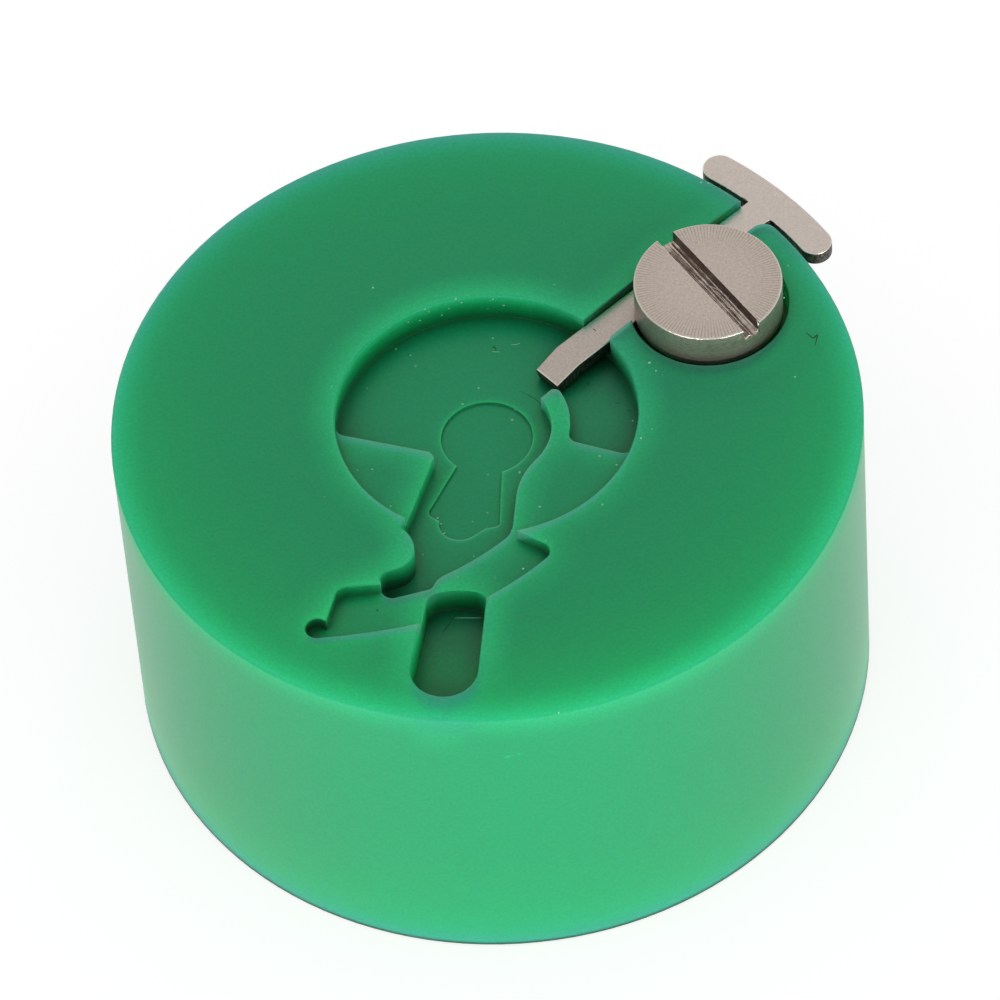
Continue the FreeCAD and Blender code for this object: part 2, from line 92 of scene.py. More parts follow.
right = Vector((1, 0, 0))
ahead = Vector((0, math.cos(ELEVATION), -math.sin(ELEVATION)))
up = Vector((0, math.sin(ELEVATION), math.cos(ELEVATION)))
leant_right = right * math.cos(LEAN) + up * math.sin(LEAN)
leant_up = up * math.cos(LEAN) - right * math.sin(LEAN)
straight = Matrix((leant_right, leant_up, -ahead)).transposed()

middle = PICTURE / 2
aim = Vector(((AIM_X - middle) / FOCAL_PIXELS, (middle - AIM_Y) / FOCAL_PIXELS, -1))
turn = Vector((0, 0, -1)).rotation_difference(aim).to_matrix()

lens = bpy.data.cameras.new("camera")
lens.sensor_width = SENSOR
lens.lens = FOCAL_PIXELS / PICTURE * SENSOR
lens.clip_start, lens.clip_end = NEAR, FAR
camera = bpy.data.objects.new("camera", lens)
bpy.context.scene.collection.objects.link(camera)
camera.matrix_world = (Matrix.Translation(Vector((0, 0, top_face)) - ahead * DISTANCE)
                       @ (straight @ turn.inverted()).to_4x4())
bpy.context.scene.camera = camera
bpy.context.scene.view_settings.view_transform = "Standard"
print("lens", round(lens.lens, 1), "mm")

# %% [markdown]
# ## Colours and nodes
#
# Every colour is written as the sRGB hex value that a picture editor shows, and one function turns
# it into the linear numbers that the renderer wants. A second small function adds a shader node,
# sets its values and links its inputs in one call.
#
# A noise node gives values from 0 to 1, but nearly all of them lie between NOISE_LOW and
# NOISE_HIGH. Every finish stretches that range over its two tones.

# %% Helpers for materials
NOISE_LOW, NOISE_HIGH = 0.3, 0.7


def colour(hex_value):
    """The linear RGBA of an sRGB hex value such as 0x2E8B57."""
    parts = [(hex_value >> shift & 255) / 255 for shift in (16, 8, 0)]
    return (*(c / 12.92 if c <= 0.04045 else ((c + 0.055) / 1.055) ** 2.4 for c in parts), 1.0)


def add_node(tree, kind, inputs=None, **settings):
    """Adds one node. Settings are its own properties, and inputs are values or sockets to link."""
    node = tree.nodes.new("ShaderNode" + kind)
    for name, value in settings.items():
        setattr(node, name, value)
    for name, value in (inputs or {}).items():
        if isinstance(value, bpy.types.NodeSocket):
            tree.links.new(value, node.inputs[name])
        else:
            node.inputs[name].default_value = value
    return node


def new_material(name):
    """An empty node material and its tree, with only the output node."""
    material = bpy.data.materials.new(name)
    material.use_nodes = True
    tree = material.node_tree
    tree.nodes.clear()
    return material, tree, tree.nodes.new("ShaderNodeOutputMaterial")


print("linear mid grey", round(colour(0x808080)[0], 3))

# %% [markdown]
# ## The room
#
# The block stands on white paper in a white room. Metal and the glossy skin of the plastic see that
# room as it is, brightest at the horizon. The light that the room casts on the object is held back,
# so that a colour renders about as it is written. It grows from the horizon upwards, and is a
# little stronger from the front than from behind. It grows downwards in the same way, because the
# underside of the block gets some of it through a hole in the paper.
#
# A picture of a real studio could light the block too. A few nodes are chosen instead, because
# plain light leaves the colours as they are. Each pair below is the upward part of a ray's
# direction and the strength of the room there. TILT is how much stronger the room is at the back,
# so a negative value favours the front.

# %% The room
SEEN_LEVEL, SEEN_HIGH = (0.05, 1.0), (0.6, 0.75)
CAST_LEVEL, CAST_HIGH = (0.0, 0.05), (0.7, 0.66)
TILT = -0.3

world = bpy.data.worlds.new("studio")
bpy.context.scene.world = world
world.use_nodes = True
sky = world.node_tree
sky.nodes.clear()
direction = add_node(sky, "TexCoord").outputs["Generated"]
axes = add_node(sky, "SeparateXYZ", {0: direction}).outputs
seen = add_node(sky, "MapRange", {
    "Value": axes["Z"], "From Min": SEEN_LEVEL[0], "From Max": SEEN_HIGH[0],
    "To Min": SEEN_LEVEL[1], "To Max": SEEN_HIGH[1]}).outputs[0]
tilt = add_node(sky, "Math", {0: axes["Y"], 1: TILT, 2: 1.0}, operation="MULTIPLY_ADD").outputs[0]
off_level = add_node(sky, "Math", {0: axes["Z"]}, operation="ABSOLUTE").outputs[0]
cast = add_node(sky, "MapRange", {
    "Value": off_level, "From Min": CAST_LEVEL[0], "From Max": CAST_HIGH[0],
    "To Min": CAST_LEVEL[1], "To Max": CAST_HIGH[1]}).outputs[0]
cast = add_node(sky, "Math", {0: cast, 1: tilt}, operation="MULTIPLY").outputs[0]
path = add_node(sky, "LightPath").outputs
for_gloss = add_node(sky, "Mix", {"Factor": path["Is Glossy Ray"], "A": cast, "B": seen}).outputs[0]
strength = add_node(sky, "Mix", {"Factor": path["Is Camera Ray"], "A": for_gloss, "B": 1.0}).outputs[0]
white = add_node(sky, "Background", {"Color": (1, 1, 1, 1), "Strength": strength})
out = sky.nodes.new("ShaderNodeOutputWorld")
sky.links.new(white.outputs[0], out.inputs[0])
print("room of", len(sky.nodes), "nodes")

# %% [markdown]
# ## The lamps
#
# Two wide and flat lamps stand low in front, almost level with the top face. They light the side of
# the block and the rim, where the light runs on into the plastic, and hardly touch the floors of
# the pockets.

# %% The lamps
LAMP_ASIDE, LAMP_UP = math.radians(32), math.radians(2.5)
LAMP_AWAY, LAMP_WIDTH, LAMP_HEIGHT, LAMP_WATTS = 0.5, 0.3, 0.04, 1.05
LAMP_AIM = Vector((0, 0, 10 * MM))


def front_lamp(name, aside):
    """An oblong area lamp in front of the block, turned aside about the block's axis by an angle
    and aimed at LAMP_AIM."""
    light = bpy.data.lights.new(name, "AREA")
    light.shape = "RECTANGLE"
    light.energy, light.size, light.size_y = LAMP_WATTS, LAMP_WIDTH, LAMP_HEIGHT
    lamp = bpy.data.objects.new(name, light)
    bpy.context.scene.collection.objects.link(lamp)
    level = LAMP_AWAY * math.cos(LAMP_UP)
    lamp.location = (level * math.sin(aside), -level * math.cos(aside), LAMP_AWAY * math.sin(LAMP_UP))
    lamp.rotation_mode = "QUATERNION"
    lamp.rotation_quaternion = (LAMP_AIM - lamp.location).to_track_quat("-Z", "Y")
    print(name, "at", [round(part, 3) for part in lamp.location])


front_lamp("front_left", -LAMP_ASIDE)
front_lamp("front_right", LAMP_ASIDE)

# %% [markdown]
# ## Floor
#
# A plain sheet of white paper with a round hole that the block covers. Through the hole, the
# underside of the block gets a little of the room's light, as it would on a light table, so that
# the translucent plastic doesn't go dark towards its foot.
#
# The paper itself is a light grey, so that it doesn't throw too much light back at the object.
# Where the camera or a glossy surface looks at it, it also glows, so that it reads as white and
# still shows the object's shadow.

# %% Floor
FLOOR_OUT, FLOOR_SIDES = 2.0, 96
HOLE = 15.7
PAPER = 0xB8B8B8
GLOW_TO_CAMERA, GLOW_TO_GLOSS = 0.74, 0.75

angle = np.linspace(0, 2 * math.pi, FLOOR_SIDES, endpoint=False)
ring = np.column_stack((np.cos(angle), np.sin(angle), 0 * angle))
inner = np.arange(FLOOR_SIDES)
beside = np.roll(inner, -1)
floor_mesh = bpy.data.meshes.new("floor")
floor_mesh.from_pydata(
    np.concatenate((ring * HOLE * MM, ring * FLOOR_OUT)), [],
    np.column_stack((inner, inner + FLOOR_SIDES, beside + FLOOR_SIDES, beside)).tolist())
floor = bpy.data.objects.new("floor", floor_mesh)
bpy.context.scene.collection.objects.link(floor)
floor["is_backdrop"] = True

material, tree, out = new_material("paper")
paper = add_node(tree, "BsdfDiffuse", {"Color": colour(PAPER)})
path = add_node(tree, "LightPath").outputs
seen = add_node(tree, "Math", {0: path["Is Camera Ray"], 1: path["Is Glossy Ray"]},
                operation="MAXIMUM")
lift = add_node(tree, "MapRange", {
    "Value": path["Is Glossy Ray"], "To Min": GLOW_TO_CAMERA, "To Max": GLOW_TO_GLOSS})
glow = add_node(tree, "Emission", {"Color": (1, 1, 1, 1), "Strength": lift.outputs[0]})
both = add_node(tree, "AddShader", {0: paper.outputs[0], 1: glow.outputs[0]})
pick = add_node(tree, "MixShader", {0: seen.outputs[0], 1: paper.outputs[0], 2: both.outputs[0]})
tree.links.new(pick.outputs[0], out.inputs[0])
floor_mesh.materials.append(material)
print("floor", FLOOR_OUT, "m out, with a hole of", HOLE, "mm radius")

# %% [markdown]
# ## Building a piece
#
# A piece is made from whole arrays of points, so that its shape follows from a few sizes and a
# formula. Most of it is rings: closed loops of equally many points, one above the other, with a
# skin of four-sided faces between each ring and the next.

# %% Helpers for pieces


def skin(lower, upper, closed=True):
    """Four-sided faces between two rings of point numbers that run counter-clockwise from above."""
    ahead = (np.roll(lower, -1), np.roll(upper, -1))
    faces = np.column_stack((lower, ahead[0], ahead[1], upper))
    return (faces if closed else faces[:-1]).tolist()


def inset(loop, distance):
    """A flat loop moved inwards. Each point moves along the sum of its two edges' normals, and as
    far as keeps both edges that distance from where they were."""
    ahead = np.roll(loop, -1, axis=0) - loop
    ahead /= np.linalg.norm(ahead, axis=1, keepdims=True)
    both = ahead + np.roll(ahead, 1, axis=0)
    left = np.column_stack((-both[:, 1], both[:, 0]))
    return loop + 2 * distance * left / np.sum(left ** 2, axis=1, keepdims=True)


def arc(centre, radius, start, end, count):
    """Points on a circle from one angle to the other: the centre plus radius times (cos, sin)."""
    angle = np.linspace(start, end, count)
    return np.column_stack((centre[0] + radius * np.cos(angle), centre[1] + radius * np.sin(angle)))


def turned_about_z(u, v, angle, centre=(0, 0)):
    """Flat coordinates u along and v across a direction at an angle from X, about a centre: the
    centre plus (u cos - v sin, u sin + v cos)."""
    return (centre[0] + u * math.cos(angle) - v * math.sin(angle),
            centre[1] + u * math.sin(angle) + v * math.cos(angle))


def new_piece(name, points, faces, sharp_above):
    """An object from points in millimetres. Edges that turn by more than the angle, in degrees,
    stay sharp."""
    mesh = bpy.data.meshes.new(name)
    mesh.from_pydata(np.asarray(points) * MM, [], faces)
    mesh.validate()
    mesh.shade_smooth()
    mesh.set_sharp_from_angle(angle=math.radians(sharp_above))
    piece = bpy.data.objects.new(name, mesh)
    bpy.context.scene.collection.objects.link(piece)
    print(name, len(mesh.vertices), "points", len(mesh.polygons), "faces")
    return piece


# %% [markdown]
# ## The T-slide
#
# The slide is blanked from 0.7 mm sheet steel: a straight stem with a curved bar across its outer
# end, which a fingertip pulls. Tumbling after the press has rounded all its edges. The tip is bent
# down so that its end bears on the bridge.
#
# The flat outline is one loop. Rings of that loop, inset a little at the top and at the bottom,
# give the rounded edges. A bevel modifier could round them as well, but rings let the upper edge be
# rounder than the lower one. Then one formula bends every point that lies inwards of the bend.

# %% The slide's sizes, in millimetres along and beside the slide
STEM_HALF, PLATE = 0.7, 0.7
INNER, OUTER, SPREAD = 16.36, 17.84, math.radians(9.95)
FILLET = 0.15
BEND_AT, BEND, BEND_RADIUS, TIP = 4.95, math.radians(14), 0.4, 1.34
TIP_TAPER = 0.08

bend_reach = (BEND_RADIUS + PLATE / 2) * math.tan(BEND / 2)
bend_start = BEND_AT + bend_reach
bend_end = bend_start - BEND_RADIUS * BEND
tip_end = bend_end - (TIP - bend_reach)

fillet_x = math.sqrt((INNER - FILLET) ** 2 - (STEM_HALF + FILLET) ** 2)
fillet_angle = math.atan2(-STEM_HALF - FILLET, fillet_x)
corner_x = math.sqrt(INNER ** 2 - STEM_HALF ** 2)
cap_middle, cap = (INNER + OUTER) / 2, (OUTER - INNER) / 2
print("tip from", round(tip_end, 3), "to", round(bend_end, 3), "and bend to", round(bend_start, 3))

# %% The slide's flat outline
TIP_STEPS, BEND_STEPS, STEM_STEPS = 7, 8, 29
FILLET_STEPS, HOLLOW_STEPS, CAP_STEPS, OUTER_STEPS = 8, 23, 32, 48

tip_along = np.linspace(tip_end, bend_end, TIP_STEPS + 1)[:-1]
bend_along = np.linspace(bend_end, bend_start, BEND_STEPS + 1)
along = np.concatenate((tip_along, bend_along))
low_along = np.concatenate((along, np.linspace(bend_start, fillet_x, STEM_STEPS + 1)[1:]))
high_along = np.concatenate((along, np.linspace(bend_start, corner_x, STEM_STEPS + 1)[1:]))
taper = TIP_TAPER * np.clip((bend_start - high_along) / (bend_start - tip_end), 0, 1)
low_side = np.column_stack((low_along, np.full(len(low_along), -STEM_HALF)))
high_side = np.column_stack((high_along, STEM_HALF - taper))

low_cap = (cap_middle * math.cos(SPREAD), -cap_middle * math.sin(SPREAD))
high_cap = (low_cap[0], -low_cap[1])
low_fillet = (fillet_x, -STEM_HALF - FILLET)
high_corner = math.asin(STEM_HALF / INNER)
slide_loop = np.concatenate((
    low_side,
    arc(low_fillet, FILLET, math.pi / 2, fillet_angle, FILLET_STEPS + 1)[1:],
    arc((0, 0), INNER, fillet_angle, -SPREAD, HOLLOW_STEPS + 1)[1:],
    arc(low_cap, cap, -math.pi - SPREAD, -SPREAD, CAP_STEPS + 1)[1:],
    arc((0, 0), OUTER, -SPREAD, SPREAD, OUTER_STEPS + 1)[1:],
    arc(high_cap, cap, SPREAD, math.pi + SPREAD, CAP_STEPS + 1)[1:],
    arc((0, 0), INNER, SPREAD, high_corner, HOLLOW_STEPS + 1)[1:-1],
    high_side[::-1]))
stem_rows = len(low_side)
print("slide outline", len(slide_loop), "points,", stem_rows, "along each side of the stem")

# %% The slide's rounded plate
EDGE_TOP, EDGE_UNDER, EDGE_STEPS = 0.08, 0.05, 4

quarter = np.linspace(0, math.pi / 2, EDGE_STEPS + 1)
under = [(EDGE_UNDER * (1 - math.sin(q)), EDGE_UNDER * (1 - math.cos(q))) for q in quarter]
over = [(EDGE_TOP * (1 - math.sin(q)), PLATE - EDGE_TOP * (1 - math.cos(q))) for q in quarter[::-1]]
rings = [np.column_stack((inset(slide_loop, back), np.full(len(slide_loop), height)))
         for back, height in under + over]


def bent(points):
    """Points inwards of bend_start follow an arc of BEND_RADIUS about an axis under the plate's
    middle surface, through the angle BEND, and then go on straight. A point h above the middle
    surface keeps that distance."""
    u, v, z = points.T
    height = z - PLATE / 2
    angle = np.clip((bend_start - u) / BEND_RADIUS, 0, BEND)
    on = np.clip(bend_end - u, 0, None)
    new_u = np.maximum(u, bend_start) - (BEND_RADIUS + height) * np.sin(angle) - on * math.cos(BEND)
    new_z = PLATE / 2 - BEND_RADIUS + (BEND_RADIUS + height) * np.cos(angle) - on * math.sin(BEND)
    return np.column_stack((new_u, v, new_z))


u, v, z = bent(np.concatenate(rings)).T
numbers = np.arange(len(z)).reshape(len(rings), len(slide_loop))
faces = [face for low, high in zip(numbers, numbers[1:]) for face in skin(low, high)]
for ring, flip in ((numbers[-1], False), (numbers[0], True)):
    low, high = ring[:stem_rows], ring[::-1][:stem_rows]
    cover = skin(low, high, closed=False)
    cover.append(ring[stem_rows - 1:len(ring) - stem_rows + 1].tolist())
    faces += [face[::-1] for face in cover] if flip else cover
print("plate of", len(rings), "rings, tip bent", round(-z.min(), 3), "mm below it")

# %% The slide in its groove
SLIDE_TURN, SLIDE_ASIDE, SLIDE_UNDER = math.radians(39.4), 0.27, 15.065

x, y = turned_about_z(u, v + SLIDE_ASIDE, SLIDE_TURN)
steel_slide = new_piece("steel_slide", np.column_stack((x, y, z + SLIDE_UNDER)), faces, sharp_above=40)
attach(steel_slide, "slide")
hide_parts("t_slide")

# %% [markdown]
# ## The screw
#
# The screw is turned from bar. Its head is a plain disc with a slot milled straight across, a
# shoulder stops it at the well's floor, and the thread below is a true helix.
#
# A box could be cut out of a cylinder, but a Boolean leaves slivers at the slot's corners, and its
# floor couldn't carry ridges. Here the slot parts the head's face into two D shapes, each a loop of
# an arc and a chord. All rings below the slot's floor are whole circles with the same angles, so
# nothing has to be welded.
#
# A chord wanders by some thousandths of a millimetre, where the cutter tore the slot's corner.

# %% The screw's sizes, in millimetres about its own axis with the slot along X
HEAD, ROUND, ROUND_STEPS = 3.19, 0.08, 5
HALF_SLOT, SLOT_EDGE, TORN, TORN_BACK = 0.415, 0.02, 0.004, 0.006
FACE, SLOT_FLOOR, HEAD_UNDER, SEAT, SHANK_END = 17.64, 17.0, 15.815, 15.045, 8.045
SHOULDER, THREAD, THREAD_DEEP, PITCH = 1.65, 1.5, 0.27, 0.5
ARC, ACROSS, LENGTHWISE = 73, 25, 60
TOUCH = 0.001

rng = np.random.default_rng(7)
wander = rng.normal(0, TORN, (2, LENGTHWISE)) + TORN_BACK
print("screw", round(FACE - SHANK_END, 3), "mm long, chords wander by", round(float(np.ptp(wander)), 4))

# %% The screw's loops


def half_arc(radius, from_chord):
    """The points of a circle that lie at least from_chord above the X axis, right to left."""
    low = math.asin(from_chord / radius)
    return arc((0, 0), radius, low, math.pi - low, ARC)


def chord(radius, from_chord, wander):
    """Points on the chord, left to right without its ends. They wander a little across it."""
    reach = math.sqrt(radius ** 2 - from_chord ** 2)
    x = np.linspace(-reach, reach, LENGTHWISE + 2)[1:-1]
    return np.column_stack((x, from_chord + wander))


def level(loop, height):
    """A flat loop lifted to a height, which is one number or one for each point."""
    return np.column_stack((loop, np.broadcast_to(height, len(loop))))


end_y = np.linspace(HALF_SLOT, -HALF_SLOT, ACROSS + 2)
end_x = np.sqrt(HEAD ** 2 - end_y ** 2)
upper_arc = half_arc(HEAD, HALF_SLOT)
left_end = np.column_stack((-end_x, end_y))[1:-1]
circle = np.concatenate((upper_arc, left_end, -upper_arc, -left_end))
unit = circle / HEAD
print("whole circle of", len(circle), "points")

# %% The head's two D shapes
points, numbers = [], {}


def keep(name, new):
    """Adds points to the screw and keeps their numbers under a name."""
    start = sum(len(group) for group in points)
    points.append(new)
    numbers[name] = np.arange(start, start + len(new))


quarter = np.linspace(0, math.pi / 2, ROUND_STEPS + 1)[1:]
rim = [(HEAD - ROUND, HALF_SLOT + SLOT_EDGE, FACE)]
rim += [(HEAD - ROUND * (1 - math.sin(q)), HALF_SLOT, FACE - ROUND * (1 - math.cos(q)))
        for q in quarter]
for side, sign in enumerate((1, -1)):
    for ring, (radius, edge, height) in enumerate(rim):
        flat = chord(radius, edge, wander[side] if ring < 2 else 0 * wander[side])
        loop = np.concatenate((half_arc(radius, edge), flat))
        keep((side, ring), level(sign * loop, height))
print("head's face and rim", sum(len(group) for group in points), "points")

# %% The slot's floor
RIDGE, TROUGH = 0.03, 0.03
WAVES = ((0.6, 13, 0.3, 0), (0.3, 27, 1.1, 0.25), (0.4, 7.5, 0, 0.4))


def ridges(x, y):
    """The floor's height: ridges along the slot, which are sine waves across it. Each wave has its
    share, its radians across half the slot, where it starts, and how far it drifts along the slot
    in radians per millimetre, so the ridges fade in and out. The middle lies TROUGH lower."""
    across = y / HALF_SLOT
    waves = sum(share * np.sin(across * count + start + drift * x)
                for share, count, start, drift in WAVES)
    return SLOT_FLOOR + RIDGE * waves - TROUGH * (1 - across ** 2)


in_floor = np.abs(circle[:, 1]) < HALF_SLOT - TOUCH
keep("slot ring", level(circle, np.where(in_floor, ridges(*circle.T), SLOT_FLOOR)))
grid_y = np.repeat(end_y[:, None], LENGTHWISE, axis=1)
grid_x = end_x[:, None] * np.linspace(1, -1, LENGTHWISE + 2)[1:-1]
floor_z = ridges(grid_x, grid_y)
keep("slot floor", np.column_stack((grid_x.ravel(), grid_y.ravel(), floor_z.ravel())))
print("slot floor from", round(floor_z.min(), 3), "to", round(floor_z.max(), 3), "mm")

# %% The rest of the head, the shoulder and the thread
HEAD_EASE, SEAT_EASE = 0.05, 0.03
THREAD_STEPS = 154
PLAIN, RUN_IN = 0.25, 0.35

keep("side", level(unit * HEAD, HEAD_UNDER + HEAD_EASE))
keep("rim", level(unit * (HEAD - HEAD_EASE), HEAD_UNDER))
keep("neck", level(unit * SHOULDER, HEAD_UNDER))
keep("shoulder", level(unit * SHOULDER, SEAT + SEAT_EASE))
keep("seat", level(unit * (SHOULDER - SEAT_EASE), SEAT))

# A ring's radius is THREAD, less the depth times a triangle wave of (height / PITCH - turn), where
# turn is the share of a whole turn at each point. The depth grows from 0 to THREAD_DEEP over RUN_IN
# under a PLAIN stretch, and a 45 degree cone at the end limits the radius.
heights = np.linspace(SEAT, SHANK_END, THREAD_STEPS + 1)
turn = np.unwrap(np.arctan2(unit[:, 1], unit[:, 0])) / (2 * math.pi)
for row, height in enumerate(heights):
    valley = np.abs((height / PITCH - turn) % 1 - 0.5) * 2
    depth = THREAD_DEEP * min(1, max(0, (SEAT - PLAIN - height) / RUN_IN))
    cone = THREAD - THREAD_DEEP + (height - SHANK_END)
    radius = np.minimum(THREAD - depth * valley, cone)
    keep(("thread", row), level(unit * radius[:, None], height))
print("thread of", len(heights), "rings,", round((SEAT - SHANK_END) / PITCH, 1), "turns long")

# %% The screw's faces
LEFT_AT, LOWER_AT, RIGHT_AT = ARC, ARC + ACROSS, 2 * ARC + ACROSS

faces = []
slot_ring, inner = numbers["slot ring"], numbers["slot floor"].reshape(ACROSS + 2, LENGTHWISE)
right = np.concatenate((slot_ring[:1], slot_ring[RIGHT_AT - 1:][::-1]))
left = slot_ring[LEFT_AT - 1:LOWER_AT + 1]
grid = np.column_stack((right, inner, left))
for above, below in zip(grid, grid[1:]):
    faces += np.column_stack((above[:-1], above[1:], below[1:], below[:-1])).tolist()
bottoms = (np.concatenate((slot_ring[:LEFT_AT], inner[0][::-1])),
           np.concatenate((slot_ring[LOWER_AT:RIGHT_AT], inner[-1])))
for side, bottom in enumerate(bottoms):
    faces.append(numbers[side, 0].tolist())
    for ring in range(1, len(rim)):
        faces += skin(numbers[side, ring], numbers[side, ring - 1])
    faces += skin(bottom, numbers[side, len(rim) - 1])
down = [slot_ring] + [numbers[name] for name in ("side", "rim", "neck", "shoulder", "seat")]
down += [numbers["thread", row] for row in range(len(heights))]
for above, below in zip(down, down[1:]):
    faces += skin(below, above)
faces.append(down[-1][::-1].tolist())
print("slot floor", grid.shape, "points,", len(down), "whole rings")

# %% The screw in its well
SCREW_AXIS, SLOT_TURN = (9.88, 5.31), math.radians(-58.75)

x, y, z = np.concatenate(points).T
x, y = turned_about_z(x, y, SLOT_TURN, SCREW_AXIS)
steel_screw = new_piece("steel_screw", np.column_stack((x, y, z)), faces, sharp_above=35)
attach(steel_screw, "screw")
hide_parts("slotted_screw")

# %% [markdown]
# ## The plastic
#
# The block is acetal dyed green, milled all over and left as the cutter left it. Light goes into it
# and comes out some millimetres away, green farthest and red least, so the thin edges of the nest
# glow while the deep pockets stay dark. Subsurface scattering gives the wide part of that. The
# narrow part is painted into the base colour with two ambient occlusion nodes. One looks into the
# solid and finds where it is thin, and there a brighter green is painted on as glow. The other looks
# out and finds where a pocket is deep and narrow, and there a dark green is painted on as shade.
# They follow the shape by themselves.
#
# To the eye that is a waxy green with bright rims. The painted glow is full in the nest, and only a
# share of it is painted on the outer rim, whose corner is thicker than the walls between the pockets.

# %% The plastic's painted glow on thin edges and painted shade in deep pockets
ACETAL, ACETAL_PAINTED_GLOW, ACETAL_PAINTED_SHADE = 0x0CA86E, 0x34EC92, 0x063C26
EDGE_REACH, EDGE_GAIN = 1.5, 1.3
NEST_OUT, NEST_FADE, RIM_SHARE = 12.0, 14.5, 0.55
POCKET_REACH, POCKET_FROM, POCKET_TO = 2.5, 0.32, 0.8
RAYS = 8

material, tree, out = new_material("acetal_milled_painted_glow_and_shade")
place = add_node(tree, "TexCoord").outputs["Object"]
solid = add_node(tree, "AmbientOcclusion", {"Distance": EDGE_REACH * MM},
                 inside=True, samples=RAYS).outputs["AO"]
open_air = add_node(tree, "AmbientOcclusion", {"Distance": POCKET_REACH * MM},
                    samples=RAYS).outputs["AO"]
# Where the plastic is thin, a brighter green is painted on as glow. The same mask also roughens those
# edges.
edge = add_node(tree, "Math", {0: solid, 1: -EDGE_GAIN, 2: EDGE_GAIN}, operation="MULTIPLY_ADD",
                use_clamp=True).outputs[0]
flat = add_node(tree, "VectorMath", {0: place, 1: (1, 1, 0)}, operation="MULTIPLY").outputs[0]
from_axis = add_node(tree, "VectorMath", {0: flat}, operation="LENGTH").outputs["Value"]
# Only a share of the painted glow is painted on the outer rim.
painted_glow_share = add_node(tree, "MapRange", {
    "Value": from_axis, "From Min": NEST_FADE * MM, "From Max": NEST_OUT * MM,
    "To Min": RIM_SHARE}).outputs[0]
edge = add_node(tree, "Math", {0: edge, 1: painted_glow_share}, operation="MULTIPLY").outputs[0]
# Where a pocket is deep and narrow, a dark green is painted on as shade.
pocket_painted_shade = add_node(tree, "MapRange", {
    "Value": open_air, "From Min": POCKET_FROM, "From Max": POCKET_TO}).outputs[0]
tone = add_node(tree, "Mix", {"Factor": edge, "A": colour(ACETAL), "B": colour(ACETAL_PAINTED_GLOW)},
                data_type="RGBA").outputs["Result"]
tone = add_node(tree, "Mix", {"Factor": pocket_painted_shade, "A": colour(ACETAL_PAINTED_SHADE), "B": tone},
                data_type="RGBA").outputs["Result"]
print("the two nodes look", EDGE_REACH, "mm into the plastic and", POCKET_REACH, "mm out of it")

# %% [markdown]
# The cutter leaves a fine grain on every face. It is a noise that makes the tone a little uneven and
# raises a relief of a hundredth of a millimetre. Specks of dust lie in the nest, where a brush
# doesn't reach: round dots of a Voronoi pattern, kept in about every second cell. Both are drawn
# coarser than they really are, because they would be too fine to show.

# %% The plastic's grain and dust
GRAIN, GRAIN_TONE = 0.13, 0.08
DUST, DUST_EVERY, DUST_SIZE, DUST_FADE = 0xC8E8D8, 0.7, 0.06, 1.4
DUST_COVER, DUST_CELLS = 0.5, 0.5
DUST_FULL, DUST_NONE = 6.5, 8.5

grain = add_node(tree, "TexNoise", {
    "Vector": place, "Scale": 1 / (GRAIN * MM), "Detail": 4.0}).outputs[0]
shade = add_node(tree, "MapRange", {
    "Value": grain, "From Min": NOISE_LOW, "From Max": NOISE_HIGH,
    "To Min": 1 - GRAIN_TONE, "To Max": 1 + GRAIN_TONE}).outputs[0]
tone = add_node(tree, "VectorMath", {0: tone, "Scale": shade}, operation="SCALE").outputs[0]
cells = add_node(tree, "TexVoronoi", {"Vector": place, "Scale": 1 / (DUST_EVERY * MM)}).outputs
dot = add_node(tree, "MapRange", {
    "Value": cells["Distance"], "From Min": DUST_SIZE, "From Max": DUST_SIZE * DUST_FADE,
    "To Min": DUST_COVER, "To Max": 0.0}).outputs[0]
chance = add_node(tree, "SeparateColor", {0: cells["Color"]}).outputs[0]
some = add_node(tree, "Math", {0: chance, 1: DUST_CELLS}, operation="GREATER_THAN").outputs[0]
dust = add_node(tree, "Math", {0: dot, 1: some}, operation="MULTIPLY").outputs[0]
near_nest = add_node(tree, "MapRange", {
    "Value": from_axis, "From Min": DUST_FULL * MM, "From Max": DUST_NONE * MM,
    "To Min": 1.0, "To Max": 0.0}).outputs[0]
dust = add_node(tree, "Math", {0: dust, 1: near_nest}, operation="MULTIPLY").outputs[0]
tone = add_node(tree, "Mix", {"Factor": dust, "A": tone, "B": colour(DUST)},
                data_type="RGBA").outputs["Result"]
print("grain of", GRAIN, "mm, a speck of dust every", DUST_EVERY, "mm")

# %% The plastic's surface and depth
SOFT_EDGE, BEVEL_RAYS = 0.1, 4
GRAIN_BUMP, GRAIN_DEEP = 0.25, 0.01
SMOOTH, ROUGH = 0.32, 0.75
INDEX, SHINE = 1.48, 0.38
INNER_LIGHT, RED_GREEN_BLUE, LIGHT_REACH = 0.75, (0.3, 1.0, 0.5), 22.0

soft = add_node(tree, "Bevel", {"Radius": SOFT_EDGE * MM}, samples=BEVEL_RAYS).outputs[0]
relief = add_node(tree, "Bump", {
    "Height": grain, "Strength": GRAIN_BUMP, "Distance": GRAIN_DEEP * MM, "Normal": soft}).outputs[0]
torn = add_node(tree, "MapRange", {"Value": edge, "To Min": SMOOTH, "To Max": ROUGH}).outputs[0]
plastic = add_node(tree, "BsdfPrincipled", {
    "Base Color": tone, "Roughness": torn, "IOR": INDEX, "Specular IOR Level": SHINE,
    "Normal": relief, "Subsurface Weight": INNER_LIGHT, "Subsurface Radius": RED_GREEN_BLUE,
    "Subsurface Scale": LIGHT_REACH * MM})
tree.links.new(plastic.outputs[0], out.inputs[0])
block.material_slots[0].material = material
print("plastic of", len(tree.nodes), "nodes")

# %% [markdown]
# ## The steel
#
# Both steel parts are plain carbon steel without plating, so the eye gets a warm grey with a soft
# shine. One function makes such a steel from two tones, its roughness, the size of its grain, how
# far that grain is drawn out and how much relief it gives, because only these differ from one
# finish to the next. The grain is a noise in object coordinates, so its size in millimetres is
# right on every face without unwrapping anything.

# %% Steel
STEEL_DEEP = 0.02


